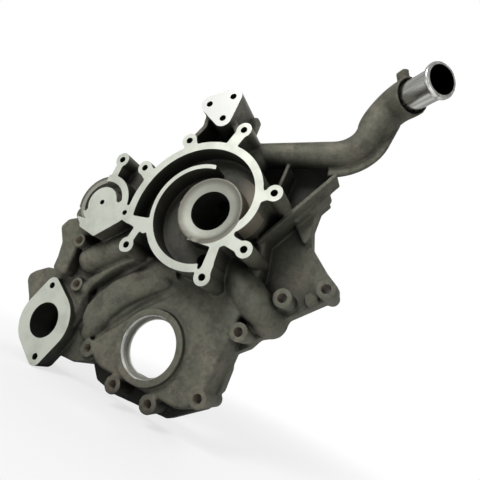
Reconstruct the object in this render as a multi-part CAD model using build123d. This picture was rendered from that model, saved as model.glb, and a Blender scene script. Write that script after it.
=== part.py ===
from build123d import *
import os
from math import atan2, cos, degrees, hypot, radians, sin

# Front timing cover of a V engine, cast in aluminium, with the coolant pump
# scroll, the suction neck, two outlet ducts and the thermostat port cast in.
# Millimetres. Origin: centre of the crank seal bore in the front face of its
# boss. X to the right seen from the front, Y into the engine, Z up.

# Depths along Y
pump_face_y = -30.0
pad_face_y = -30.0
thermostat_face_y = -5.0
crank_face_y = 0.0
case_front_y = 6.0
plate_front_y = 30.0
pad_rib_front_y = -22.0
boss_face_y = 5.0
left_boss_face_y = [-20.0, -20.0, -4.0]
shoulder_front_y = 3.0
ridge_front_y = -14.0
thermostat_body_y = 2.0
low_lug_y = 14.0
low_lug_back_y = 32.0
foot_front_y = 10.0
web_front_y = -12.0
flange_front_y = 34.0
engine_face_y = 46.0
scroll_floor_y = -10.0

# Walls
case_wall = 5.0
boss_wall = 2.0
fit_play = 0.15
overcut = 1.0

# Corners left round by the pattern maker
rib_corner_r = 2.0
web_corner_r = 3.0
lug_corner_r = 4.0
body_corner_r = 5.0
flange_corner_r = 6.0
shoulder_corner_r = 7.0
pocket_corner_r = 8.0
sprocket_corner_r = 18.0
shoulder_edge_r = 4.0

# Crank seal bore
seal_bore_r = 29.0
seal_bore_depth = 10.0
seal_lip_r = 27.0
seal_lip_depth = 2.5
crank_boss_r = 36.0

# Pump scroll, angles in degrees from +X about the hub centre
hub_x = 18.9
hub_z = 134.7
eye_r = 19.5
hub_ring_r = 32.5
hub_ring_drop = 1.0
hub_dish = 4.0
volute_start = -10.0
volute_end = 199.0
volute_rise = 0.301
volute_ease = 0.000322
volute_wall = 8.0
splitter_start = 105.0
splitter_root = 206.0
splitter_end = 284.0
splitter_start_r = 41.0
splitter_gain = 17.0
splitter_crest = 115.0
splitter_wall = 4.4
splitter_lap = 1.5
lower_wall = 7.5
rim_lead = 22.0
rim_trail = 4.0

# Pump bolts, tapped in ears of the gasket face
pump_hole_r = 3.4
pump_hole_depth = 24.0
ear_r = 8.0
pump_ears = [(73.6, 164.2), (67.1, 108.3), (40.3, 74.2), (-49.8, 79.0),
             (19.3, 220.1), (-71.2, 159.5), (-34.3, 198.8), (-103.8, 162.6)]

# Bypass chamber beside the scroll
bypass_x = -102.4
bypass_z = 112.0
bypass_r = 31.5
groove_out_r = 24.0
groove_in_r = 17.3
groove_depth = 16.0
bypass_hole_r = 2.7
bypass_lug = (-69.1, 108.5)

# Thermostat flange
thermostat_x = -126.4
thermostat_z = -20.6
thermostat_hole_r = 18.5
thermostat_belly_r = 33.5
thermostat_barrel_r = 31.5
thermostat_ear_r = 9.0
thermostat_bolt_reach = 36.8
thermostat_turn = 108.6
thermostat_hole_depth = 34.0
thermostat_bolt_depth = 18.0
thermostat_port_r = 12.5
thermostat_flange = 20.0

# Accessory pad at the top
pad_x = -16.0
pad_z = 242.8
pad_circle_r = 15.0
pad_turn = 58.0
pad_ear_r = 9.5
pad_back_y = 16.0
pad_web = 5.0

# Ducts cast in the cover
duct_r = 17.0
duct_bore_r = 12.5
gallery_r = 17.9
gallery_bore_r = 15.0
neck_r = 13.0
neck_bore_r = 10.0
neck_rib_thick = 5.0
neck_rib_reach = 21.8
neck_rib_back = 3.0
collar_r = 17.9
collar_swell_r = 16.0
collar_root_r = 11.0
collar_root = 36.0
neck_bend_r = 30.0
elbow_bend_r = 22.0
core_bend_r = 25.0
neck_end_run = 33.4
neck_set_back = 3.3

# Hose nipple, pressed into the neck
nipple_turn = 43.0
nipple_r = 14.0
nipple_wall = 1.6
nipple_seat = 12.0
nipple_reach = 32.0
nipple_bead_r = 16.2
nipple_bead_length = 4.6
nipple_bead_land = 0.8
socket_lip = 2.0
socket_lip_depth = 4.0

# Bolts through the cover into the engine
cover_hole_r = 4.4
cover_boss_r = 9.0
left_boss_r = 7.5
boss_foot_r = 7.0
low_bolts = [(-67.4, -27.0), (-22.4, -45.0), (20.6, -45.0), (63.7, -21.3),
             (76.0, 43.7), (102.5, 84.8), (135.8, 104.4)]
left_bolts = [(-131.8, 96.3), (-117.7, 68.2), (-109.5, 25.7)]

# Dowel sleeves in the engine face, undercut where they leave it
dowel_r = 5.5
dowel_bore_r = 4.3
dowel_length = 14.0
dowel_depth = 7.0
undercut_depth = 0.4
undercut_width = 1.0
dowel_spots = {"dowel_sleeve_left": (-124.0, 48.0), "dowel_sleeve_right": (116.0, 104.0)}

# Core plug behind the pump eye
plug_r = 17.0
plug_sheet = 1.6
plug_depth = 6.0
plug_corner_r = 5.0
suction_axis_y = 9.0

# Places of the arms, ribs and walls that tie the forms together
rear_wall_y = 30.0
arm_back_y = 20.0
plug_front_y = rear_wall_y - plug_depth
pocket_end_x = 17.0
pocket_drop = 53.0
tab_drop = 33.0
tab_x = -8.5
rib_thick = 4.0
case_corner_r = 26.0
case_edge_r = 4.0
rim_node = [(-60.0, 112.0), (-62.0, 100.0), (-50.0, 97.5), (-37.0, 94.0), (-30.0, 104.0), (-38.0, 113.0)]
rim_rib = [(35.9, 74.0), (47.5, 74.0), (46.0, 85.0), (44.5, 104.0), (56.0, 112.0), (50.0, 125.0),
           (20.0, 125.0), (10.4, 101.7), (35.9, 101.7)]
rim_arms = [((52.0, 152.0), (73.6, 164.2), 10.0), ((50.0, 112.0), (67.1, 108.3), 11.0),
            ((40.3, 74.2), (41.0, 86.0), 11.0), ((-49.8, 79.0), (-46.0, 97.0), 8.0),
            ((19.3, 220.1), (14.0, 204.0), 12.0), ((-71.2, 159.5), (-60.0, 152.0), 14.0),
            ((-34.3, 198.8), (-27.0, 190.0), 14.0), ((-103.8, 162.6), (-104.0, 140.0), 8.0),
            ((-69.1, 108.5), (-60.0, 106.0), 14.0), ((-69.1, 108.5), (-80.0, 108.0), 14.0)]
scroll_web = [(-104.0, 162.0), (-100.0, 130.0), (-60.0, 110.0), (-40.0, 180.0), (-20.0, 198.0),
              (-34.0, 200.0), (-60.0, 182.0), (-72.0, 168.0)]
bypass_tail = [(-14.5, -10.0), (-14.5, -31.0), (10.0, -36.0), (33.0, -13.0), (30.0, 5.0)]
groove_first = 22.0
groove_last = 212.0
case_outline = [(-66.0, -38.0), (66.0, -38.0), (70.0, 40.0), (74.0, 100.0), (60.0, 160.0),
                (-20.0, 160.0), (-62.0, 90.0), (-70.0, 20.0)]
case_hollow = [(-61.0, -33.0), (61.0, -33.0), (65.0, 40.0), (60.0, 74.0), (-50.0, 74.0), (-65.0, 20.0)]
sprocket_hollow = [(-50.0, 70.0), (60.0, 70.0), (60.0, 160.0), (-20.0, 160.0), (-50.0, 110.0)]
flange_outline = [(-78.0, -40.0), (-62.0, -56.0), (-36.0, -60.0), (30.0, -55.0), (63.0, -31.0),
                  (64.0, -19.0), (70.0, -12.0), (70.0, 10.0), (66.0, 22.0), (80.0, 34.0), (86.0, 45.0),
                  (102.0, 54.0), (106.0, 72.0), (133.0, 97.0), (142.0, 106.0), (140.0, 114.0),
                  (126.0, 124.0), (104.0, 144.0), (98.0, 162.0), (98.0, 196.0), (0.0, 206.0),
                  (-60.0, 190.0), (-104.0, 170.0), (-140.0, 110.0), (-130.0, 30.0), (-90.0, 0.0)]
left_duct = [(-8.0, 15.0, 80.0), (-52.0, 14.0, 60.0), (-79.0, 14.0, 20.0), (-79.0, 14.0, -14.0),
             (-79.0, 46.0, -14.0)]
left_duct_bend = [45.0, 40.0, 20.0]
right_duct = [(38.0, 14.0, 101.0), (88.0, 14.0, 65.0), (88.0, 46.0, 65.0)]
right_duct_bend = [20.0]
left_well = (-49.5, 14.0, 112.5)
left_well_foot = (-47.0, 14.0, 62.5)
right_well = (23.5, 14.0, 91.0)
right_well_foot = (44.0, 14.0, 95.5)
well_r = 6.0
gallery_top = (20.0, 10.0, 205.5)
neck_start = (20.0, 10.0, 215.5)
neck_corner = (120.8, 7.2, 234.8)
neck_elbow = (131.4, 14.1, 292.3)
neck_rib_route = [(96.0, 7.9, 230.0), (120.8, 7.2, 234.8), (126.3, 15.0, 284.0)]
neck_lug_rise = 8.0
neck_lug_width = 6.5
neck_lug_length = 10.0
neck_lug_back = 7.0
neck_lug_turn = 34.0
shoulder_outline = [(-50.0, 98.0), (-62.0, 79.0), (-84.0, 66.0), (-97.0, 52.0), (-101.0, 36.0),
                    (-97.0, 20.0), (-94.0, -12.0), (-130.0, -12.0), (-156.0, 30.0), (-158.0, 60.0),
                    (-172.0, 74.0), (-168.0, 84.0), (-128.0, 98.0), (-100.0, 130.0)]
left_ridge = [(-124.0, 100.0), (-154.0, 87.0), (-160.0, 76.0), (-147.0, 60.0), (-143.0, 44.0),
              (-142.0, 30.0), (-122.0, 30.0), (-123.0, 60.0), (-116.0, 76.0), (-110.0, 92.0)]
bypass_ridge = [(-58.0, 94.0), (-106.0, 56.0)]
bypass_ridge_y = 0.0
bypass_ridge_r = 15.0
bypass_bore_r = 6.0
bypass_route = [(-119.8, -16.0, 101.0), (-119.8, 12.0, 101.0), (-140.0, 14.0, 50.0), (-128.0, 14.0, -8.0)]
thermostat_body = [(-96.0, 30.0), (-110.0, 36.0), (-164.0, 30.0), (-179.0, 21.0), (-186.0, 14.0),
                   (-184.0, 7.0), (-170.0, -8.0), (-150.0, -40.0), (-110.0, -40.0), (-92.0, -14.0)]
low_lug = [(-150.0, -28.0), (-140.0, -57.0), (-132.0, -61.0), (-120.0, -59.0), (-116.0, -50.0),
           (-100.0, -38.0), (-100.0, -20.0)]
foot_outline = [(-116.0, -14.0), (-110.0, -44.0), (-100.0, -47.0), (-80.0, -46.0), (-62.0, -38.0),
                (-52.0, -30.0), (-58.0, -8.0), (-92.0, -2.0)]
left_pocket = [(-152.0, 74.0), (-142.0, 86.0), (-112.0, 88.0), (-100.0, 72.0), (-104.0, 42.0),
               (-138.0, 40.0)]
left_pocket_y = 26.0
bypass_pocket = (-97.0, 120.0)
bypass_pocket_r = 18.0
bypass_pocket_y = -4.0
relief_out_r = 47.0
relief_first = 128.0
relief_last = 236.0
floor_wall = 7.0
eye_wall = 7.0
pad_web_outline = [(-36.0, 200.0), (10.0, 200.0), (8.0, 260.0), (-36.0, 246.0)]
pad_ribs = [((-33.0, 236.0), (-31.0, 222.0)), ((-31.0, 222.0), (-40.0, 202.0)),
            ((-1.0, 232.0), (12.0, 216.0))]
plate_outline = [(50.0, 60.0), (100.0, 66.0), (133.0, 97.0), (139.0, 110.0), (104.0, 144.0),
                 (98.0, 162.0), (97.0, 183.0), (99.0, 203.0), (101.0, 231.0), (60.0, 226.0),
                 (24.0, 208.0)]
plate_ribs = [((62.0, 125.5), (109.8, 206.5), 0.0, 22.0), ((62.0, 125.5), (102.0, 193.3), 0.0, 46.0),
              ((60.8, 208.0), (60.0, 178.0), 4.0, 46.0), ((69.7, 167.8), (82.0, 162.0), 4.0, 46.0)]
plate_gusset = ((84.0, 163.0), (102.0, 193.0))
gusset_width = 10.0
gusset_front_y = 14.0
edge_gusset = [(84.0, 157.0), (98.5, 141.0), (102.0, 150.0), (100.5, 160.0), (98.5, 173.0), (92.0, 171.0)]
edge_gusset_y = 22.0
bolt_lug = [(115.0, 95.0), (120.0, 100.0), (131.0, 98.0), (121.0, 86.0)]
bolt_lug_y = 22.0
gusset_back_y = 32.0


def at_depth(y):
    return Plane(origin=(0, y, 0), x_dir=(1, 0, 0), z_dir=(0, -1, 0))


def block(sketch, front, back):
    return extrude(at_depth(back) * sketch, amount=back - front)


def disc(x, z, radius):
    return Pos(x, z) * Circle(radius)


def peg(x, z, radius, front, back):
    return block(disc(x, z, radius), front, back)


def cone(x, z, front_r, back_r, front, back):
    place = at_depth(back) * Pos(x, z, (back - front) / 2)
    return place * Cone(back_r, front_r, back - front)


def rounded(points, radius):
    corners = make_face(Polyline(*points, close=True))
    return fillet(corners.vertices(), radius)


def bar(start, end, width):
    length = hypot(end[0] - start[0], end[1] - start[1])
    turn = degrees(atan2(end[1] - start[1], end[0] - start[0]))
    middle = ((start[0] + end[0]) / 2, (start[1] + end[1]) / 2)
    return Pos(*middle) * SlotCenterToCenter(length, width, rotation=turn)


def around_hub(angle, radius):
    return (hub_x + radius * cos(radians(angle)), hub_z + radius * sin(radians(angle)))


def volute_radius(angle):
    turn = angle - volute_start
    return hub_ring_r + volute_rise * turn - volute_ease * turn * turn


def splitter_radius(angle):
    turn = 90.0 * (angle - splitter_start) / splitter_crest
    return splitter_start_r + splitter_gain * sin(radians(turn))


def swept_curve(radius_at, first, last, extra=0.0, steps=8):
    angles = [first + (last - first) * k / steps for k in range(steps + 1)]
    return Spline(*[around_hub(a, radius_at(a) + extra) for a in angles])


def fan(curve, *corners):
    # the area between the hub centre and a curve round it
    hub = (hub_x, hub_z)
    return make_face([Line(hub, curve @ 0), curve, Polyline(curve @ 1, *corners, hub)])


# Pump scroll: gasket face, volute with its splitter, pump eye and ears

def scroll_pocket():
    outer = fan(swept_curve(volute_radius, volute_start, volute_end),
                around_hub(splitter_root - splitter_lap, splitter_radius(splitter_root)))
    end_x = hub_x + pocket_end_x
    tab_z = hub_z - tab_drop
    inner = fan(swept_curve(splitter_radius, splitter_start, splitter_end),
                (end_x, hub_z - pocket_drop), (end_x, tab_z), (hub_x + tab_x, tab_z))
    return outer + inner - splitter_band() - disc(hub_x, hub_z, hub_ring_r)


def splitter_band():
    back = swept_curve(splitter_radius, splitter_start, splitter_root, splitter_wall)
    front = swept_curve(splitter_radius, splitter_start, splitter_root)
    return make_face([back, front, Line(back @ 0, front @ 0), Line(back @ 1, front @ 1)])


def scroll_rim():
    upper = fan(swept_curve(volute_radius, volute_start - rim_lead, volute_end + rim_trail, volute_wall))
    lower = fan(swept_curve(splitter_radius, volute_end, splitter_end, lower_wall))
    hub = disc(hub_x, hub_z, hub_ring_r)
    return upper + lower + hub + rounded(rim_node, rib_corner_r) + rounded(rim_rib, rib_corner_r)


def scroll():
    body = block(scroll_rim(), pump_face_y, rear_wall_y)
    body += block(rounded(scroll_web, web_corner_r), web_front_y, arm_back_y)
    for start, end, width in rim_arms:
        body += block(bar(start, end, width), pump_face_y, arm_back_y)
    for x, z in pump_ears:
        body += peg(x, z, ear_r, pump_face_y, arm_back_y)
    return body


def scroll_cuts():
    pocket = block(scroll_pocket(), pump_face_y, scroll_floor_y)
    ring = cone(hub_x, hub_z, hub_ring_r + hub_ring_drop, eye_r, pump_face_y, pump_face_y + hub_dish)
    eye = peg(hub_x, hub_z, eye_r, pump_face_y, suction_axis_y + gallery_bore_r)
    cuts = [pocket, ring, eye]
    for x, z in pump_ears:
        cuts.append(peg(x, z, pump_hole_r, pump_face_y, pump_face_y + pump_hole_depth))
    return cuts


# Bypass chamber: ring, C shaped groove and the plate with its tail

def bypass_chamber():
    tail = [(x + bypass_x, z + bypass_z) for x, z in bypass_tail]
    face = disc(bypass_x, bypass_z, bypass_r) + rounded(tail, web_corner_r)
    body = block(face, pump_face_y, engine_face_y)
    body += peg(*bypass_lug, ear_r, pump_face_y, arm_back_y)
    return body


def bypass_cuts():
    ring = disc(bypass_x, bypass_z, groove_out_r) - disc(bypass_x, bypass_z, groove_in_r)
    far = 2 * groove_out_r
    sector = [(bypass_x + far * cos(radians(a)), bypass_z + far * sin(radians(a)))
              for a in (groove_first, groove_first + 60, groove_first + 120, groove_last)]
    window = make_face(Polyline((bypass_x, bypass_z), *sector, close=True))
    middle_r = (groove_out_r + groove_in_r) / 2
    groove = ring & window
    for angle in (groove_first, groove_last):
        groove += disc(bypass_x + middle_r * cos(radians(angle)),
                       bypass_z + middle_r * sin(radians(angle)),
                       (groove_out_r - groove_in_r) / 2)
    return [block(groove, pump_face_y, pump_face_y + groove_depth),
            peg(bypass_x, bypass_z, bypass_hole_r, pump_face_y, pump_face_y + pump_hole_depth),
            peg(*bypass_lug, bypass_hole_r, pump_face_y, pump_face_y + pump_hole_depth)]


# Chain case with the crank seal bore, and the flange against the engine

def chain_case():
    body = block(rounded(case_outline, case_corner_r), case_front_y, engine_face_y)
    return fillet(body.faces().sort_by(Axis.Y)[0].edges(), case_edge_r)


def engine_flange():
    return block(rounded(flange_outline, flange_corner_r), flange_front_y, engine_face_y)


def case_hollows():
    lower = block(rounded(case_hollow, case_corner_r - case_wall), case_front_y + case_wall, engine_face_y)
    upper = block(rounded(sprocket_hollow, sprocket_corner_r), rear_wall_y, engine_face_y)
    return lower + upper


def cover_bosses():
    bosses = [cone(x, z, cover_boss_r, boss_foot_r, boss_face_y, engine_face_y) for x, z in low_bolts]
    for (x, z), face_y in zip(left_bolts, left_boss_face_y):
        bosses.append(peg(x, z, left_boss_r, face_y, engine_face_y))
    return bosses


def case_cuts():
    bore = peg(0, 0, seal_bore_r, crank_face_y, seal_bore_depth)
    lip = peg(0, 0, seal_lip_r, crank_face_y, engine_face_y)
    cuts = [bore, lip]
    for x, z in low_bolts + left_bolts:
        cuts.append(peg(x, z, cover_hole_r, pump_face_y, engine_face_y))
    for x, z in dowel_spots.values():
        cuts.append(peg(x, z, dowel_r, engine_face_y - dowel_depth, engine_face_y))
    return cuts


def relief_pockets():
    # hollows open to the engine that keep the walls behind the thick forms even
    left = rounded(left_pocket, pocket_corner_r)
    for x, z in left_bolts + list(dowel_spots.values()):
        left -= disc(x, z, cover_boss_r + boss_wall)
    ring = disc(hub_x, hub_z, relief_out_r) - disc(hub_x, hub_z, eye_r + eye_wall)
    sector = [around_hub(a, 2 * relief_out_r) for a in (relief_first, 180.0, relief_last)]
    ring &= make_face(Polyline((hub_x, hub_z), *sector, close=True))
    return [block(left, left_pocket_y, engine_face_y),
            peg(*bypass_pocket, bypass_pocket_r, bypass_pocket_y, engine_face_y),
            block(ring, scroll_floor_y + floor_wall, engine_face_y)]


# Ducts: the two pump outlets, the suction neck and the thermostat passage

def pipe(points, radius, bends):
    path = FilletPolyline(*points, radius=bends) if len(points) > 2 else Line(*points)
    start = Plane(origin=path @ 0, z_dir=path % 0)
    return sweep(start * Circle(radius), path=path)


def outlet_feeds():
    # from the floor of each channel's end down into its duct
    cuts = []
    for head, foot in ((left_well, left_well_foot), (right_well, right_well_foot)):
        cuts.append(peg(head[0], head[2], well_r, scroll_floor_y - overcut, head[1]))
        cuts.append(pipe([head, foot], well_r, 0) + ball(head, well_r) + ball(foot, well_r))
    return cuts


def ball(point, radius):
    return Pos(*point) * Sphere(radius)


def outlet_ducts(radius):
    return pipe(left_duct, radius, left_duct_bend) + pipe(right_duct, radius, right_duct_bend)


def nipple_axis():
    return Vector(sin(radians(nipple_turn)), -cos(radians(nipple_turn)), 0)


def neck_end():
    return Vector(*neck_elbow) + nipple_axis() * neck_end_run


def suction_neck(radius):
    elbow = Vector(*neck_elbow) - nipple_axis() * neck_set_back
    route = [neck_start, neck_corner, elbow, neck_end()]
    return pipe(route, radius, [neck_bend_r, core_bend_r]) + ball(neck_start, radius)


def neck_rib():
    # stands on the outside of the neck's bend
    path = FilletPolyline(*neck_rib_route, radius=neck_bend_r)
    start = Plane(origin=path @ 0, x_dir=(0, 0, 1), z_dir=path % 0)
    rib = RectangleRounded(neck_rib_reach, neck_rib_thick, rib_corner_r)
    return sweep(start * Pos(-neck_rib_reach / 2, -neck_rib_back) * rib, path=path)


def neck_collar():
    # the wide end that takes the nipple, faired into the slimmer neck
    elbow = Vector(*neck_elbow)
    down = (Vector(*neck_corner) - elbow).normalized()
    out = nipple_axis()
    side = out.cross(down)
    hub = elbow + (down + out) * elbow_bend_r
    places = [(elbow + down * collar_root, 0, collar_root_r)]
    for k in range(5):
        turn = radians(22.5 * k)
        spot = hub - (out * cos(turn) + down * sin(turn)) * elbow_bend_r
        places.append((spot, turn, collar_swell_r + (collar_r - collar_swell_r) * k / 4))
    places.append((neck_end(), radians(90), collar_r))
    sections = [Plane(origin=spot, x_dir=side, z_dir=out * sin(turn) - down * cos(turn)) * Circle(r)
                for spot, turn, r in places]
    return loft(sections)


def suction_gallery(radius):
    start = (hub_x, suction_axis_y, hub_z)
    return pipe([start, gallery_top], radius, 0) + ball(gallery_top, radius)


def neck_lug():
    reach = collar_r + neck_lug_rise
    lug = Pos(reach / 2, 0, -neck_lug_back) * Box(reach, neck_lug_width, neck_lug_length)
    return nipple_plane() * Rot(0, 0, neck_lug_turn) * lug


def nipple_plane(back=0.0):
    origin = neck_end() - nipple_axis() * back
    return Plane(origin=origin, x_dir=(0, 0, 1), z_dir=nipple_axis())


def socket_bore():
    bore = extrude(Circle(nipple_r + fit_play), amount=nipple_seat)
    lip = Pos(0, 0, nipple_seat - socket_lip_depth)
    lip *= extrude(Circle(nipple_r + socket_lip), amount=socket_lip_depth)
    return nipple_plane(nipple_seat) * (bore + lip)


def left_shoulder():
    body = block(rounded(shoulder_outline, shoulder_corner_r), shoulder_front_y, engine_face_y)
    body = fillet(body.faces().sort_by(Axis.Y)[0].edges(), shoulder_edge_r)
    ridge = block(rounded(left_ridge, body_corner_r), ridge_front_y, engine_face_y)
    body += fillet(ridge.faces().sort_by(Axis.Y)[0].edges(), shoulder_edge_r)
    ends = [(x, bypass_ridge_y, z) for x, z in bypass_ridge]
    body += pipe(ends, bypass_ridge_r, 0) + ball(ends[1], bypass_ridge_r)
    return body + block(rounded(foot_outline, body_corner_r), foot_front_y, engine_face_y)


def thermostat_face():
    belly = disc(thermostat_x, thermostat_z, thermostat_belly_r)
    ears = [disc(x, z, thermostat_ear_r) for x, z in thermostat_bolts()]
    return make_hull((belly + ears[0] + ears[1]).edges())


def thermostat_bolts():
    turn = radians(thermostat_turn)
    reach = thermostat_bolt_reach
    return [(thermostat_x + side * reach * cos(turn), thermostat_z + side * reach * sin(turn))
            for side in (1, -1)]


def thermostat_housing():
    body = block(thermostat_face(), thermostat_face_y, thermostat_face_y + thermostat_flange)
    body += peg(thermostat_x, thermostat_z, thermostat_barrel_r, thermostat_face_y, engine_face_y)
    body += block(rounded(thermostat_body, body_corner_r), thermostat_body_y, engine_face_y)
    return body + block(rounded(low_lug, lug_corner_r), low_lug_y, low_lug_back_y)


def bypass_passage():
    # from the groove round the ridge into the thermostat bore
    legs = [pipe(list(leg), bypass_bore_r, 0) for leg in zip(bypass_route, bypass_route[1:])]
    return legs + [ball(point, bypass_bore_r) for point in bypass_route[1:]]


def thermostat_cuts():
    port = peg(thermostat_x, thermostat_z, thermostat_hole_r,
               thermostat_face_y, thermostat_face_y + thermostat_hole_depth)
    holes = [peg(x, z, pump_hole_r, thermostat_face_y, thermostat_face_y + thermostat_bolt_depth)
             for x, z in thermostat_bolts()]
    passage = peg(thermostat_x, thermostat_z, thermostat_port_r, thermostat_face_y, engine_face_y)
    return [port, passage] + holes + bypass_passage()


# Accessory pad on its tower

def pad_holes():
    angles = [radians(pad_turn + 120.0 * k) for k in range(3)]
    return [(pad_x + pad_circle_r * cos(a), pad_z + pad_circle_r * sin(a)) for a in angles]


def pad_tower():
    ears = [disc(x, z, pad_ear_r) for x, z in pad_holes()]
    hull = make_hull((ears[0] + ears[1] + ears[2]).edges())
    body = block(hull, pad_face_y, pad_back_y)
    body += block(rounded(pad_web_outline, web_corner_r), pad_back_y - 2 * pad_web, pad_back_y)
    for start, end in pad_ribs:
        body += block(bar(start, end, pad_web), pad_rib_front_y, pad_back_y)
    return body


def pad_cuts():
    return [peg(x, z, pump_hole_r, pad_face_y, pad_face_y + pump_hole_depth) for x, z in pad_holes()]


# Plate and ribs between the scroll, the neck and the right bolts

def right_plate():
    body = block(rounded(plate_outline, flange_corner_r), plate_front_y, engine_face_y)
    for start, end, front, back in plate_ribs:
        body += block(bar(start, end, rib_thick), front, back)
    body += block(bar(*plate_gusset, gusset_width), gusset_front_y, gusset_back_y)
    body += block(rounded(edge_gusset, rib_corner_r), edge_gusset_y, gusset_back_y)
    return body + block(rounded(bolt_lug, web_corner_r), bolt_lug_y, engine_face_y)


def cover_casting():
    body = chain_case() + engine_flange() + right_plate() + left_shoulder() - case_hollows()
    for piece in cover_bosses():
        body += piece
    body += peg(0, 0, crank_boss_r, crank_face_y, seal_bore_depth + seal_lip_depth)
    body += scroll() + bypass_chamber() + thermostat_housing() + pad_tower()
    body += outlet_ducts(duct_r) + suction_gallery(gallery_r) + suction_neck(neck_r)
    body += neck_collar() + neck_rib() + neck_lug()
    for cut in scroll_cuts() + bypass_cuts() + case_cuts() + thermostat_cuts() + pad_cuts():
        body -= cut
    body -= suction_neck(neck_bore_r)
    body -= suction_gallery(gallery_bore_r)
    body -= socket_bore()
    body -= outlet_ducts(duct_bore_r)
    for cut in outlet_feeds() + relief_pockets():
        body -= cut
    body -= peg(hub_x, hub_z, plug_r, plug_front_y, rear_wall_y)
    return body


# Separate pieces

def hose_nipple():
    inner_r = nipple_r - nipple_wall
    tube = extrude(Circle(nipple_r), amount=nipple_seat + nipple_reach)
    bead = Pos(0, 0, nipple_seat + nipple_reach - nipple_bead_length)
    bead *= extrude(Circle(nipple_bead_r), amount=nipple_bead_length)
    bead = fillet(bead.edges(), (nipple_bead_length - nipple_bead_land) / 2)
    whole = tube + bead - extrude(Circle(inner_r), amount=nipple_seat + nipple_reach)
    return nipple_plane(nipple_seat) * whole


def core_plug():
    cup = peg(hub_x, hub_z, plug_r - fit_play, plug_front_y, rear_wall_y)
    cup = fillet(cup.faces().sort_by(Axis.Y)[0].edges(), plug_corner_r)
    hollow = peg(hub_x, hub_z, plug_r - fit_play - plug_sheet, plug_front_y + plug_sheet, rear_wall_y)
    return cup - fillet(hollow.faces().sort_by(Axis.Y)[0].edges(), plug_corner_r - plug_sheet)


def dowel_sleeve(x, z):
    front = engine_face_y - dowel_depth + fit_play
    outer_r = dowel_r - fit_play
    undercut = disc(x, z, 2 * outer_r) - disc(x, z, outer_r - undercut_depth)
    half = undercut_width / 2
    body = peg(x, z, outer_r, front, front + dowel_length)
    body -= block(undercut, engine_face_y - half, engine_face_y + half)
    return body - peg(x, z, dowel_bore_r, front, front + dowel_length)


def main():
    os.makedirs("parts", exist_ok=True)
    pieces = {"cover_casting": cover_casting(), "hose_nipple": hose_nipple(),
              "eye_core_plug": core_plug()}
    for name, spot in dowel_spots.items():
        pieces[name] = dowel_sleeve(*spot)
    for name, piece in pieces.items():
        solids = piece.solids()
        print(name, len(solids), round(sum(s.volume for s in solids)))
        export_step(piece, f"parts/{name}.step")


main()
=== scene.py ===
from math import cos, radians, sin
import bpy
from mathutils import Matrix, Vector


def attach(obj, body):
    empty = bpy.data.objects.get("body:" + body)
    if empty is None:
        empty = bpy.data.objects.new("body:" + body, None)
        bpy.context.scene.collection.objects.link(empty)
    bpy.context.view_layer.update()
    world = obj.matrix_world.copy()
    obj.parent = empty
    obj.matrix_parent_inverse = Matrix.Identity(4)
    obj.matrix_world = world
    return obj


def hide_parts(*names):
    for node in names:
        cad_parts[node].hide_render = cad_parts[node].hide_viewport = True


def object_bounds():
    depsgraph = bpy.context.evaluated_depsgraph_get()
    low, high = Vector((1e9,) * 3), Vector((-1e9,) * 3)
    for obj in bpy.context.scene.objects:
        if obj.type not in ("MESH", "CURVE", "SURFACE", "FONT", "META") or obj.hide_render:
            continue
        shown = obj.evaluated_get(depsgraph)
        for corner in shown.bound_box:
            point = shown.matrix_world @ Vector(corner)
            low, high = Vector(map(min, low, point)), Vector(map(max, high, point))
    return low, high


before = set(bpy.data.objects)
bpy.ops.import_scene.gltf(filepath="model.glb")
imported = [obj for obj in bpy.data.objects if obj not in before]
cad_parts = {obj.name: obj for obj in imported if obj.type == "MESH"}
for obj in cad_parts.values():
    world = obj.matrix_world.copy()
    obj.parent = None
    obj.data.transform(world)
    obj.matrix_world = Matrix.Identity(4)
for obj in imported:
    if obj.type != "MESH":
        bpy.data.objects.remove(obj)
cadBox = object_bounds()
scene = bpy.context.scene
root = "root"


# Small helpers

def pickOnly(piece):
    bpy.ops.object.select_all(action="DESELECT")
    piece.select_set(True)
    bpy.context.view_layer.objects.active = piece


def applyAll(piece):
    pickOnly(piece)
    for modifier in list(piece.modifiers):
        bpy.ops.object.modifier_apply(modifier=modifier.name)


def joinPieces(pieces, name):
    pickOnly(pieces[0])
    for piece in pieces:
        piece.select_set(True)
    bpy.ops.object.join()
    bpy.context.object.name = name
    return bpy.context.object


def settle(piece):
    # place goes into the mesh, the object stays at the origin
    pickOnly(piece)
    bpy.ops.object.transform_apply(location=True, rotation=True, scale=True)


def darker(tone, share):
    return [share * part for part in tone[:3]] + [1]


class Num:
    # one socket, so that mask maths reads as plain expressions
    def __init__(self, paint, socket):
        self.paint = paint
        self.socket = socket

    def maths(self, kind, other=0.0, flip=False):
        pair = [other, self] if flip else [self, other]
        return self.paint.node("ShaderNodeMath", {"operation": kind}, {0: pair[0], 1: pair[1]})

    def __add__(self, other):
        return self.maths("ADD", other)

    def __radd__(self, other):
        return self.maths("ADD", other, True)

    def __sub__(self, other):
        return self.maths("SUBTRACT", other)

    def __rsub__(self, other):
        return self.maths("SUBTRACT", other, True)

    def __mul__(self, other):
        return self.maths("MULTIPLY", other)

    def __gt__(self, other):
        return self.maths("GREATER_THAN", other)

    def __lt__(self, other):
        return self.maths("LESS_THAN", other)


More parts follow.
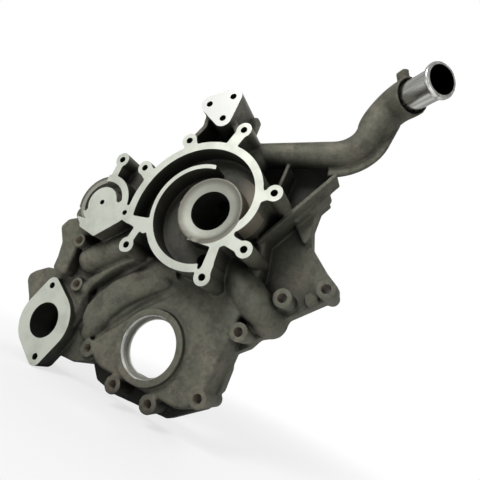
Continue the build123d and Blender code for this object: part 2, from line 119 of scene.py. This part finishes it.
class Paint:
    # sockets of the colour mix node
    mixSockets = {"factor": 0, "first": 6, "second": 7, "result": 2}

    def __init__(self, name):
        self.material = bpy.data.materials.new(name)
        self.material.use_nodes = True
        self.tree = self.material.node_tree
        self.shader = self.tree.nodes["Principled BSDF"]
        self.place = self.node("ShaderNodeTexCoord", {}, {}, "Object")

    def fill(self, made, key, value):
        if isinstance(value, Num):
            self.tree.links.new(value.socket, made.inputs[key])
        else:
            made.inputs[key].default_value = value

    def node(self, kind, settings, inputs, output=0):
        made = self.tree.nodes.new(kind)
        for key, value in settings.items():
            setattr(made, key, value)
        for key, value in inputs.items():
            self.fill(made, key, value)
        return Num(self, made.outputs[output])

    def noise(self, scale, detail=3.0, rough=0.55, place=None):
        return self.node("ShaderNodeTexNoise", {}, {"Vector": place or self.place, "Scale": scale,
                                                    "Detail": detail, "Roughness": rough})

    def wave(self, settings, inputs):
        return self.node("ShaderNodeTexWave", settings, {"Vector": self.place, **inputs})

    def ramp(self, factor, low, high):
        return self.node("ShaderNodeMapRange", {"interpolation_type": "SMOOTHSTEP"},
                         {"Value": factor, "From Min": low, "From Max": high})

    def mix(self, factor, first, second):
        made = self.tree.nodes.new("ShaderNodeMix")
        made.data_type = "RGBA"
        for key, value in (("factor", factor), ("first", first), ("second", second)):
            self.fill(made, self.mixSockets[key], value)
        return Num(self, made.outputs[self.mixSockets["result"]])

    def split(self, place):
        made = self.tree.nodes.new("ShaderNodeSeparateXYZ")
        self.tree.links.new(place.socket, made.inputs[0])
        return [Num(self, made.outputs[k]) for k in range(3)]

    def squared(self, first, second):
        # square of the distance over two directions
        return first.maths("POWER", 2) + second.maths("POWER", 2)

    def reach(self, spot):
        # distance from an axis along Y
        parts = self.split(self.place)
        return self.squared(parts[0] - spot[0], parts[2] - spot[1]).maths("SQRT")

    def feed(self, name, value):
        self.tree.links.new(value.socket, self.shader.inputs[name])

    def finish(self, colour, grain, rough, metal):
        # rough is the least roughness and what the grain adds to it
        self.feed("Base Color", colour)
        self.feed("Roughness", rough[0] + grain * rough[1])
        self.shader.inputs["Metallic"].default_value = metal
        return self.material

    def bump(self, height, strength, distance):
        self.feed("Normal", self.node("ShaderNodeBump", {}, {"Height": height, "Strength": strength,
                                                             "Distance": distance}))


# Casting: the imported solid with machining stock, melted to soft cast edges, then machined back

castSkin = {"voxel": 0.0009, "quickVoxel": 0.0018, "softTurns": 5, "softness": 0.5, "stock": 0.0022,
            "stockShare": 0.4, "triangles": 150000, "creaseAngle": 32, "doubles": 0.000002}
faceLevels = {"pump": -0.030, "thermostat": -0.005, "engine": 0.046}
# how close a point counts as on a face, on a hole of the solid and on a machined hole
levelGap, holeGap, wallGap = 0.00002, 0.00006, 0.00025
# holes of the solid are looked for this far past both ends
holeEnds = (0.002, 0.001)
# outer ends of the cutters for the machined faces
cutPast = {"front": -0.06, "engine": 0.08, "thermostat": -0.02, "side": 0.4}
drillSides = {"large": 96, "small": 32, "largeFrom": 0.01}

# the web behind the neck, as x from and to, y from and to, z from and to
neckWeb = (0.016, 0.064, 0.030, 0.0482, 0.202, 0.231)
hubPlace = (0.0189, 0.1347)
bypassPlace = (-0.1024, 0.112)
# ring cut from the bypass chamber's rim: radii, level, right and lower end, then the ends of its cutters
lowRim = {"outer": 0.0335, "inner": 0.0238, "level": -0.0268, "right": -0.1105, "foot": 0.0905,
          "front": -0.04, "insideFront": -0.05, "side": 0.1}
# zones as x from and to, z from and to
thermostatZone = ((-0.192, -0.090), (-0.072, 0.0262))
shoulderZone = ((-0.11, 0.01), (-0.03, 0.09))

# soft forms of the left shoulder, lines as x, z in millimetres: a swelling, a ridge and two grooves
shoulderSwell = {"line": [(-77, -13), (-72.3, -1.3), (-67.4, 15.4), (-56.8, 32), (-41.2, 46.9), (-26.2, 57.2),
                          (-12.3, 61.8)],
                 "wide": (8, 12.5, 14, 14.5, 14, 12, 7), "middle": 6.0, "squash": 0.66}
shoulderRidge = {"line": [(-101, 24), (-97, 34), (-84.4, 47.2), (-66.8, 65.2), (-47, 75.5), (-36, 78)],
                 "wide": (6, 7, 7.5, 7.5, 7, 5), "middle": 5.0, "squash": 1.0}
shoulderGroove = {"line": [(-84, -16), (-91, -4), (-92.5, 12), (-84, 30), (-70.6, 49), (-52, 64.5),
                           (-36, 72.5)],
                  "deep": (2, 6.5, 7.5, 8, 8, 7, 1), "wide": 8.0, "near": 2.0, "far": 28.0}
swellFoot = {"line": [(-66, -14), (-58, -3.5), (-48, 8), (-31.5, 29), (-16, 43.5), (-3, 54)],
             "deep": (1, 2.6, 3.0, 3.0, 2.8, 1), "wide": 5.0, "near": 8.0, "far": 28.0}
ball = {"steps": 6, "segments": 24, "rings": 12}

# the turned inside of the seal bore, in metres along Y and as radii
sealSeat = {"seat": 0.029, "lip": 0.027, "hole": 0.0293, "skirt": 0.0298, "front": 0.0002, "step": 0.0100,
            "back": 0.0125, "edgeOut": 0.0302, "edgeIn": 0.0289, "edgeFront": -0.0004, "edgeBack": 0.0009,
            "cutFront": -0.01, "cutBack": 0.03}


def ringSpots(middle, radius, turn, count):
    turns = [radians(turn + 360 / count * k) for k in range(count)]
    return [(middle[0] + radius * cos(angle), middle[1] + radius * sin(angle)) for angle in turns]


# bolt places as x, z in millimetres
pumpEars = [(73.6, 164.2), (67.1, 108.3), (40.3, 74.2), (-49.8, 79.0),
            (19.3, 220.1), (-71.2, 159.5), (-34.3, 198.8), (-103.8, 162.6)]
padMiddle = (-16.0, 242.8)
padBolts = ringSpots(padMiddle, 15.0, 58, 3)
thermostatMiddle = (-126.4, -20.6)
thermostatBolts = ringSpots(thermostatMiddle, 36.8, 108.6, 2)
bypassBolts = [(-102.4, 112.0), (-69.1, 108.5)]
lowBolts = [(-67.4, -27.0), (-22.4, -45.0), (20.6, -45.0), (63.7, -21.3),
            (76.0, 43.7), (102.5, 84.8), (135.8, 104.4)]
leftBolts = [(-131.8, 96.3), (-117.7, 68.2), (-109.5, 25.7)]
tappedRadius, smallRadius, boltRadius = 3.4, 2.7, 4.4

# holes as x, z, radius, from, to in metres along Y: seal bore, pump eye, thermostat bore, then the bolts
machinedHoles = [(0.0, 0.0, sealSeat["hole"], -0.001, 0.020),
                 (*hubPlace, 0.0195, -0.031, 0.024),
                 (thermostatMiddle[0] / 1000, thermostatMiddle[1] / 1000, 0.0185, -0.006, 0.029)]
for spots, radius, start, end in ((pumpEars, tappedRadius, -31, -6), (padBolts, tappedRadius, -31, -6),
                                  (thermostatBolts, tappedRadius, -6, 13),
                                  (bypassBolts, smallRadius, -31, -6),
                                  (lowBolts, boltRadius, 4, 47), (leftBolts, boltRadius, -21, 47)):
    for x, z in spots:
        machinedHoles.append((x / 1000, z / 1000, radius / 1000, start / 1000, end / 1000))


def copyNode(name, newName):
    piece = bpy.data.objects.new(newName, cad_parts[name].data.copy())
    scene.collection.objects.link(piece)
    pickOnly(piece)
    bpy.ops.object.mode_set(mode="EDIT")
    bpy.ops.mesh.select_all(action="SELECT")
    bpy.ops.mesh.remove_doubles(threshold=castSkin["doubles"])
    bpy.ops.object.mode_set(mode="OBJECT")
    return piece


def inZone(co, zone):
    return zone[0][0] < co.x < zone[0][1] and zone[1][0] < co.z < zone[1][1]


def atLevel(co, level):
    return abs(co.y - faceLevels[level]) < levelGap


def leaveStock(piece):
    # holes get narrower and machined faces stand proud, for the cuts after the melting
    stock = castSkin["stock"]
    for point in piece.data.vertices:
        co = point.co
        for x, z, radius, start, end in machinedHoles:
            reach = (Vector((co.x - x, co.z - z))).length
            if abs(reach - radius) < holeGap and start - holeEnds[0] < co.y < end + holeEnds[1]:
                keep = (radius - min(stock, castSkin["stockShare"] * radius)) / reach
                co.x = x + (co.x - x) * keep
                co.z = z + (co.z - z) * keep
                break
        if co.y < faceLevels["pump"] + levelGap:
            co.y -= stock
        elif co.y > faceLevels["engine"] - levelGap:
            co.y += stock
        elif atLevel(co, "thermostat") and inZone(co, thermostatZone):
            co.y -= stock


def slab(x0, x1, y0, y1, z0, z1):
    bpy.ops.mesh.primitive_cube_add(size=1, location=((x0 + x1) / 2, (y0 + y1) / 2, (z0 + z1) / 2),
                                    scale=(x1 - x0, y1 - y0, z1 - z0))
    settle(bpy.context.object)
    return bpy.context.object


def drill(x, z, radius, start, end):
    sides = drillSides["large"] if radius > drillSides["largeFrom"] else drillSides["small"]
    bpy.ops.mesh.primitive_cylinder_add(vertices=sides, radius=radius, depth=end - start,
                                        location=(x, (start + end) / 2, z), rotation=(radians(90), 0, 0))
    settle(bpy.context.object)
    return bpy.context.object


def sealEdge():
    # the chamfer at the mouth of the seal bore
    seat = sealSeat
    bpy.ops.mesh.primitive_cone_add(vertices=drillSides["large"], radius1=seat["edgeOut"],
                                    radius2=seat["edgeIn"], depth=seat["edgeBack"] - seat["edgeFront"],
                                    location=(0, (seat["edgeFront"] + seat["edgeBack"]) / 2, 0),
                                    rotation=(radians(-90), 0, 0))
    settle(bpy.context.object)
    return bpy.context.object


def machine(piece, cutters, name):
    cutter = joinPieces(cutters, name)
    cut = piece.modifiers.new(name, "BOOLEAN")
    cut.operation = "DIFFERENCE"
    cut.solver = "EXACT"
    cut.object = cutter
    applyAll(piece)
    bpy.data.objects.remove(cutter)


def swellAlong(form):
    # a row of overlapping balls, which the melting turns into one soft form
    balls = []
    for k in range(len(form["line"]) - 1):
        (x0, z0), (x1, z1) = form["line"][k:k + 2]
        for n in range(ball["steps"]):
            t = n / ball["steps"]
            radius = (form["wide"][k] * (1 - t) + form["wide"][k + 1] * t) / 1000
            bpy.ops.mesh.primitive_uv_sphere_add(
                segments=ball["segments"], ring_count=ball["rings"], radius=radius,
                location=((x0 + (x1 - x0) * t) / 1000, form["middle"] / 1000, (z0 + (z1 - z0) * t) / 1000),
                scale=(1, form["squash"], 1))
            settle(bpy.context.object)
            balls.append(bpy.context.object)
    return balls


def pressGroove(piece, form):
    # the skin is pushed back along the groove, less and less towards the rear
    line = [Vector(spot) / 1000 for spot in form["line"]]
    wide, near, far = (form[key] / 1000 for key in ("wide", "near", "far"))
    for point in piece.data.vertices:
        co = point.co
        if co.y > far or not inZone(co, shoulderZone):
            continue
        spot = Vector((co.x, co.z))
        best, deep = wide, 0.0
        for k in range(len(line) - 1):
            along = line[k + 1] - line[k]
            t = min(1.0, max(0.0, (spot - line[k]).dot(along) / along.length_squared))
            gap = (spot - line[k] - along * t).length
            if gap < best:
                best, deep = gap, form["deep"][k] * (1 - t) + form["deep"][k + 1] * t
        if best < wide:
            fade = 1.0 - max(0.0, co.y - near) / (far - near)
            co.y += deep / 1000 * (1 - (best / wide) ** 2) ** 2 * fade


def meltCasting():
    piece = copyNode("cover_casting", "cast_cover")
    leaveStock(piece)
    # the plate runs on behind the neck, so no light shows between them
    added = [slab(*neckWeb)] + swellAlong(shoulderSwell) + swellAlong(shoulderRidge)
    piece = joinPieces([piece] + added, "cast_cover")
    melt = piece.modifiers.new("melt", "REMESH")
    melt.mode = "VOXEL"
    melt.voxel_size = castSkin["voxel"]
    soft = piece.modifiers.new("soft", "SMOOTH")
    soft.factor = castSkin["softness"]
    soft.iterations = castSkin["softTurns"]
    applyAll(piece)
    pressGroove(piece, shoulderGroove)
    pressGroove(piece, swellFoot)
    piece.data.calc_loop_triangles()
    thin = piece.modifiers.new("thin", "DECIMATE")
    thin.ratio = min(1.0, castSkin["triangles"] / len(piece.data.loop_triangles))
    applyAll(piece)
    print("casting melted", len(piece.data.polygons))
    return piece


def rimCutter():
    # the left of the bypass chamber's rim stays below the machined face
    rim, side = lowRim, lowRim["side"]
    ring = drill(*bypassPlace, rim["outer"], rim["front"], rim["level"])
    machine(ring, [drill(*bypassPlace, rim["inner"], rim["insideFront"], 0)], "rimInside")
    machine(ring, [slab(rim["right"], side, -side, side, -side, 2 * side)], "rimRight")
    machine(ring, [slab(-2 * side, side, -side, side, -side, rim["foot"])], "rimFoot")
    return ring


def machineCasting(piece):
    side, zone = cutPast["side"], thermostatZone
    slabs = [slab(-side, side, cutPast["front"], faceLevels["pump"], -side, side),
             slab(-side, side, faceLevels["engine"], cutPast["engine"], -side, side),
             slab(*zone[0], cutPast["thermostat"], faceLevels["thermostat"], *zone[1])]
    machine(piece, slabs, "faceCuts")
    machine(piece, [drill(*hole) for hole in machinedHoles], "holeCuts")
    machine(piece, [sealEdge()], "edgeCut")
    machine(piece, [rimCutter()], "rimCut")
    print("casting machined", len(piece.data.polygons))


def turnSeat():
    # a ring with the seat, the step and the lip of the seal bore
    seat = sealSeat
    ring = drill(0, 0, seat["skirt"], seat["front"], seat["back"])
    ring.name = "seal_seat"
    machine(ring, [drill(0, 0, seat["seat"], seat["cutFront"], seat["step"])], "seatCut")
    machine(ring, [drill(0, 0, seat["lip"], seat["cutFront"], seat["cutBack"])], "lipCut")
    machine(ring, [sealEdge()], "seatEdgeCut")
    return ring


castCover = meltCasting()
machineCasting(castCover)
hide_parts("cover_casting")
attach(castCover, root)
sealRing = turnSeat()
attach(sealRing, root)


# Casting finish. Noises are scale, detail and roughness, bands are the low and high end of a ramp,
# rough is the least roughness and its spread, bump is strength and distance in metres

castFinish = {"tone": (0.112, 0.115, 0.083, 1), "warmTone": (0.170, 0.153, 0.115, 1),
              "duskTone": (0.040, 0.040, 0.030, 1), "sandTone": (0.24, 0.235, 0.195, 1),
              "shadeAndSootTone": (0.006, 0.006, 0.004, 1), "litFloorTone": (0.230, 0.200, 0.152, 1),
              "grooveTone": (0.260, 0.255, 0.215, 1),
              "patches": (22, 4.0, 0.6), "patchBand": (0.42, 0.68),
              "stains": (75, 5.0, 0.7), "stainBand": (0.46, 0.66), "stainShare": 0.62,
              "mottle": (260, 3.0, 0.6), "mottleBand": (0.38, 0.66), "mottleShare": 0.32,
              "grain": (900, 2.0, 0.6), "grainHeight": 0.6,
              "sand": (2340, 2.0, 0.7), "sandBand": (0.42, 0.7), "sandShare": 0.26, "sandHeight": 0.4,
              "rough": (0.50, 0.26), "metal": 0.35, "bump": (0.7, 0.0006)}
# painted light on the scroll's floor, lighter towards the right, and a paler tone round the bypass groove
litScrollFloor = {"band": (0.020, 0.046), "reach": 0.047, "rear": -0.0088, "foot": 0.122}
paleGroove = {"reach": 0.0285}
# painted shade with some oily soot in the recesses, less on the scroll's floor and round the bypass groove
recessShadeAndSoot = {"samples": 8, "reach": 0.05, "band": (0.26, 0.97), "share": 0.98, "floorLess": 0.72,
        "grooveLess": 0.75}
milledFinish = {"tone": (0.54, 0.56, 0.49, 1), "duskyTone": (0.42, 0.44, 0.38, 1),
                "dishShadeTone": (0.122, 0.115, 0.088, 1), "padLightTone": (0.53, 0.535, 0.51, 1),
                "clouds": (45, 4.0, 0.6), "cloudBand": (0.35, 0.75),
                "arcs": {"Scale": 260, "Distortion": 0.6, "Detail": 2.0},
                "dishEdge": (0.0332, 0.0340), "dishBand": (0.024, 0.030), "dishShadeShares": (0.55, 0.40),
                "padReach": 0.032, "rough": (0.42, 0.14), "metal": 0.25, "bump": (0.10, 0.0002)}
boredFinish = {"tone": (0.72, 0.72, 0.68, 1), "darkTone": (0.20, 0.20, 0.17, 1),
               "rings": {"Scale": 420, "Distortion": 0.4, "Detail": 1.5},
               "streaks": (70, 3.0, 0.6), "streakBand": (0.50, 0.68), "streakShare": 0.5,
               "seatBandRamp": (0.0030, 0.0050), "seatBandEnd": 0.0101, "seatBandShare": 0.85,
               "rough": (0.30, 0.2), "metal": 0.45, "bump": (0.15, 0.0002)}
wallFinish = {"noise": (300, 3.0), "shade": 0.45, "metal": 0.3,
              # painted shade: the walls of the ports and tapped holes near black
              "port": {"tone": (0.018, 0.018, 0.014, 1), "rough": 0.55},
              # painted light: the walls of the through bolt holes pale
              "boltHole": {"tone": (0.42, 0.36, 0.29, 1), "rough": 0.45}}
# material slots of the casting, in the order in which they are filled
castSlots = {"skin": 0, "milled": 1, "port": 2, "boltHole": 3}
sorting = {"flat": 0.995, "steep": 0.2, "dishFront": -0.0255, "dishReach": 0.0332}


def paintCast():
    paint = Paint("castAluminium")
    look = castFinish
    patches = paint.ramp(paint.noise(*look["patches"]), *look["patchBand"])
    stains = paint.ramp(paint.noise(*look["stains"]), *look["stainBand"])
    mottle = paint.ramp(paint.noise(*look["mottle"]), *look["mottleBand"])
    grain = paint.noise(*look["grain"])
    sand = paint.noise(*look["sand"])
    colour = paint.mix(patches, look["tone"], look["warmTone"])
    colour = paint.mix(stains * look["stainShare"], colour, look["duskTone"])
    colour = paint.mix(mottle * look["mottleShare"], colour, look["duskTone"])
    colour = paint.mix(paint.ramp(sand, *look["sandBand"]) * look["sandShare"], colour, look["sandTone"])
    x, y, z = paint.split(paint.place)
    # painted light: the scroll's floor lighter towards the right
    floor = (paint.ramp(x, *litScrollFloor["band"]) * (paint.reach(hubPlace) < litScrollFloor["reach"])
             * (y < litScrollFloor["rear"]) * (z > litScrollFloor["foot"]))
    # a paler tone round the bypass groove, with less of the painted shade
    groove = paint.reach(bypassPlace) < paleGroove["reach"]
    colour = paint.mix(floor, colour, look["litFloorTone"])
    colour = paint.mix(groove, colour, look["grooveTone"])
    # painted shade with some oily soot: darker where the surface is closed in
    opened = paint.node("ShaderNodeAmbientOcclusion", {"samples": recessShadeAndSoot["samples"]},
                        {"Distance": recessShadeAndSoot["reach"]}, "AO")
    shadeAndSoot = ((recessShadeAndSoot["share"] - paint.ramp(opened, *recessShadeAndSoot["band"]) * recessShadeAndSoot["share"])
            * (1.0 - floor * recessShadeAndSoot["floorLess"]) * (1.0 - groove * recessShadeAndSoot["grooveLess"]))
    colour = paint.mix(shadeAndSoot, colour, look["shadeAndSootTone"])
    paint.bump(grain * look["grainHeight"] + sand * look["sandHeight"], *look["bump"])
    return paint.finish(colour, grain, look["rough"], look["metal"])


def paintMilled():
    paint = Paint("milledFace")
    look = milledFinish
    clouds = paint.noise(*look["clouds"])
    arcs = paint.wave({"wave_type": "RINGS", "rings_direction": "Y"}, look["arcs"])
    colour = paint.mix(paint.ramp(clouds, *look["cloudBand"]), look["tone"], look["duskyTone"])
    # painted shade on the dished ring round the pump eye: darker than the gasket face, darkest towards its
    # outer edge
    ring = paint.reach(hubPlace)
    shares = look["dishShadeShares"]
    dishShade = ((1.0 - paint.ramp(ring, *look["dishEdge"]))
            * (shares[0] + paint.ramp(ring, *look["dishBand"]) * shares[1]))
    colour = paint.mix(dishShade, colour, look["dishShadeTone"])
    # painted light: the bolt pad pale and even, without the darker clouds
    onPad = paint.reach([part / 1000 for part in padMiddle]) < look["padReach"]
    colour = paint.mix(onPad, colour, look["padLightTone"])
    paint.bump(arcs, *look["bump"])
    return paint.finish(colour, clouds, look["rough"], look["metal"])


def paintBored():
    paint = Paint("boredWall")
    look = boredFinish
    y = paint.split(paint.place)[1]
    rings = paint.wave({"wave_type": "BANDS", "bands_direction": "Y"}, look["rings"])
    streaks = paint.noise(*look["streaks"])
    colour = paint.mix(paint.ramp(streaks, *look["streakBand"]) * look["streakShare"],
                       look["tone"], look["darkTone"])
    # a darker band on the inner half of the seal's seat, up to the step
    seatBand = paint.ramp(y, *look["seatBandRamp"]) * (y < look["seatBandEnd"])
    colour = paint.mix(seatBand * look["seatBandShare"], colour, look["darkTone"])
    paint.bump(rings, *look["bump"])
    return paint.finish(colour, streaks, look["rough"], look["metal"])


def paintWall(kind):
    paint = Paint(kind + "Wall")
    look = wallFinish[kind]
    blots = paint.noise(*wallFinish["noise"])
    paint.feed("Base Color", paint.mix(blots, look["tone"], darker(look["tone"], wallFinish["shade"])))
    paint.shader.inputs["Roughness"].default_value = look["rough"]
    paint.shader.inputs["Metallic"].default_value = wallFinish["metal"]
    return paint.material


def slotOf(face):
    # which slot a face of the casting takes
    middle, lean = face.center, face.normal.y
    forward = lean < -sorting["flat"]
    if ((forward and atLevel(middle, "pump"))
            or (forward and atLevel(middle, "thermostat") and inZone(middle, thermostatZone))
            or (lean > sorting["flat"] and atLevel(middle, "engine"))):
        return castSlots["milled"]
    if abs(lean) < sorting["steep"]:
        for x, z, radius, start, end in machinedHoles:
            reach = Vector((middle.x - x, middle.z - z)).length
            if abs(reach - radius) < wallGap and start < middle.y < end:
                return castSlots["boltHole" if radius == boltRadius / 1000 else "port"]
        return castSlots["skin"]
    hubReach = Vector((middle.x - hubPlace[0], middle.z - hubPlace[1])).length
    dish = middle.y < sorting["dishFront"] and hubReach < sorting["dishReach"]
    return castSlots["milled" if dish else "skin"]


def smoothFaces(piece):
    pickOnly(piece)
    bpy.ops.object.shade_smooth_by_angle(angle=radians(castSkin["creaseAngle"]))


castCover.data.materials.clear()
for material in (paintCast(), paintMilled(), paintWall("port"), paintWall("boltHole")):
    castCover.data.materials.append(material)
for face in castCover.data.polygons:
    face.material_index = slotOf(face)
smoothFaces(castCover)
sealRing.data.materials.clear()
sealRing.data.materials.append(paintBored())
smoothFaces(sealRing)
print("casting painted")


# Hose nipple, core plug and dowels keep their solids and get their finish

nipple = {"tone": (0.90, 0.90, 0.86, 1), "streakTone": (0.26, 0.26, 0.24, 1),
          "boreShadeTone": (0.012, 0.012, 0.010, 1), "turn": 43, "end": (0.1541785, -0.0103209, 0.2923),
          "bore": 0.0131, "squeeze": 0.03, "streaks": (240, 3.0, 0.6), "streakBand": (0.46, 0.66),
          "streakShare": 0.55, "scratches": (1800, 2.0, 0.6), "rough": (0.16, 0.16), "metal": 1.0,
          "bump": (0.12, 0.0001)}
steelFinish = {"wear": (160, 4.0, 0.6), "wearBand": (0.4, 0.7), "shade": 0.55, "spread": 0.2, "metal": 0.9}
plug = {"tone": (0.30, 0.30, 0.28, 1), "rough": 0.22}
dowel = {"tone": (0.42, 0.42, 0.40, 1), "rough": 0.25}


def paintNipple():
    paint = Paint("brightTube")
    # the tube's own frame: its length along local Z
    turned = paint.node("ShaderNodeMapping", {"vector_type": "TEXTURE"},
                        {"Vector": paint.place, "Location": nipple["end"],
                         "Rotation": (radians(90), 0, radians(nipple["turn"]))})
    squeezed = paint.node("ShaderNodeMapping", {}, {"Vector": turned, "Scale": (1, 1, nipple["squeeze"])})
    streaks = paint.ramp(paint.noise(*nipple["streaks"], squeezed), *nipple["streakBand"])
    across = paint.split(turned)
    # painted shade: the inside of the tube's bore near black
    inside = paint.squared(across[0], across[1]) < nipple["bore"] ** 2
    scratches = paint.noise(*nipple["scratches"], squeezed)
    colour = paint.mix(streaks * nipple["streakShare"], nipple["tone"], nipple["streakTone"])
    colour = paint.mix(inside, colour, nipple["boreShadeTone"])
    paint.bump(scratches, *nipple["bump"])
    return paint.finish(colour, scratches, nipple["rough"], nipple["metal"])


def paintSteel(name, look):
    paint = Paint(name)
    wear = paint.noise(*steelFinish["wear"])
    colour = paint.mix(paint.ramp(wear, *steelFinish["wearBand"]), look["tone"],
                       darker(look["tone"], steelFinish["shade"]))
    return paint.finish(colour, wear, (look["rough"], steelFinish["spread"]), steelFinish["metal"])


def giveMaterial(node, material):
    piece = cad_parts[node]
    piece.data.materials.clear()
    piece.data.materials.append(material)


giveMaterial("hose_nipple", paintNipple())
giveMaterial("eye_core_plug", paintSteel("plugSteel", plug))
dowelSteel = paintSteel("dowelSteel", dowel)
giveMaterial("dowel_sleeve_left", dowelSteel)
giveMaterial("dowel_sleeve_right", dowelSteel)
print("small pieces painted")


# Floor, light and camera

# the floor glows for the camera, more and more away from its middle, to the white behind it
floorLook = {"size": 6, "drop": 0.0005, "tone": (0.9, 0.9, 0.9, 1), "rough": 0.9, "middle": (0.0, 0.04),
             "fade": (0.05, 0.42), "glow": (0.70, 0.30)}
# lamps as power, place and size
studio = {"white": (1, 1, 1, 1), "worldLight": 0.34, "backdrop": 1.0, "target": (0.02, 0.0, 0.12),
          "key": (8.6, (-0.30, -0.88, 0.72), (0.4, 0.4)), "fill": (0.9, (0.75, -0.65, 0.25), (0.5, 0.7)),
          "rim": (2.0, (0.2, 0.5, 0.8), (0.6, 0.4))}
cameraPlace = {"at": (0.2085, -0.3300, 0.0426), "right": (0.8639, 0.3353, 0.3758),
               "up": (-0.2581, -0.3460, 0.9020), "back": (0.4324, -0.8763, -0.2123), "lens": 30,
               "sensor": 36, "nearest": 0.01}


def layFloor():
    look = floorLook
    bpy.ops.mesh.primitive_plane_add(size=look["size"], location=(0, 0, cadBox[0].z - look["drop"]))
    floor = bpy.context.object
    floor.name = "floor"
    settle(floor)
    paint = Paint("paleFloor")
    paint.shader.inputs["Base Color"].default_value = look["tone"]
    paint.shader.inputs["Roughness"].default_value = look["rough"]
    light = paint.tree.nodes.new("ShaderNodeEmission")
    blend = paint.tree.nodes.new("ShaderNodeMixShader")
    path = paint.tree.nodes.new("ShaderNodeLightPath")
    parts = paint.split(paint.place)
    reach = paint.squared(parts[0] - look["middle"][0], parts[1] - look["middle"][1])
    far = paint.ramp(reach, look["fade"][0] ** 2, look["fade"][1] ** 2)
    seen = Num(paint, path.outputs["Is Camera Ray"]) * (look["glow"][0] + far * look["glow"][1])
    paint.tree.links.new(seen.socket, blend.inputs[0])
    paint.tree.links.new(paint.shader.outputs[0], blend.inputs[1])
    paint.tree.links.new(light.outputs[0], blend.inputs[2])
    out = paint.tree.nodes["Material Output"]
    paint.tree.links.new(blend.outputs[0], out.inputs["Surface"])
    floor.data.materials.append(paint.material)


def lightWorld():
    # white where the camera looks past the part, dimmer as a light
    world = bpy.data.worlds.new("studio")
    scene.world = world
    world.use_nodes = True
    tree = world.node_tree
    tree.nodes.clear()
    blend = tree.nodes.new("ShaderNodeMixShader")
    for socket, strength in ((1, studio["worldLight"]), (2, studio["backdrop"])):
        sky = tree.nodes.new("ShaderNodeBackground")
        sky.inputs[0].default_value = studio["white"]
        sky.inputs[1].default_value = strength
        tree.links.new(sky.outputs[0], blend.inputs[socket])
    path = tree.nodes.new("ShaderNodeLightPath")
    either = tree.nodes.new("ShaderNodeMath")
    either.operation = "MAXIMUM"
    out = tree.nodes.new("ShaderNodeOutputWorld")
    tree.links.new(path.outputs["Is Camera Ray"], either.inputs[0])
    tree.links.new(path.outputs["Is Transmission Ray"], either.inputs[1])
    tree.links.new(either.outputs[0], blend.inputs[0])
    tree.links.new(blend.outputs[0], out.inputs[0])


def hangLamp(name, power, place, size):
    bpy.ops.object.light_add(type="AREA", location=place)
    lamp = bpy.context.object
    lamp.name = name
    lamp.data.energy = power
    lamp.data.shape = "RECTANGLE"
    lamp.data.size, lamp.data.size_y = size
    lamp.rotation_mode = "QUATERNION"
    lamp.rotation_quaternion = (Vector(place) - Vector(studio["target"])).to_track_quat("Z", "Y")


def placeCamera():
    bpy.ops.object.camera_add()
    camera = bpy.context.object
    right, up, back = (Vector(cameraPlace[key]) for key in ("right", "up", "back"))
    place = Matrix.Translation(cameraPlace["at"]) @ Matrix((right, up, back)).transposed().to_4x4()
    camera.matrix_world = place
    camera.data.lens = cameraPlace["lens"]
    camera.data.sensor_width = cameraPlace["sensor"]
    camera.data.clip_start = cameraPlace["nearest"]
    scene.camera = camera


layFloor()
lightWorld()
for lampName in ("key", "fill", "rim"):
    hangLamp(lampName + "Lamp", *studio[lampName])
placeCamera()
scene.view_settings.view_transform = "Standard"
print("studio ready")
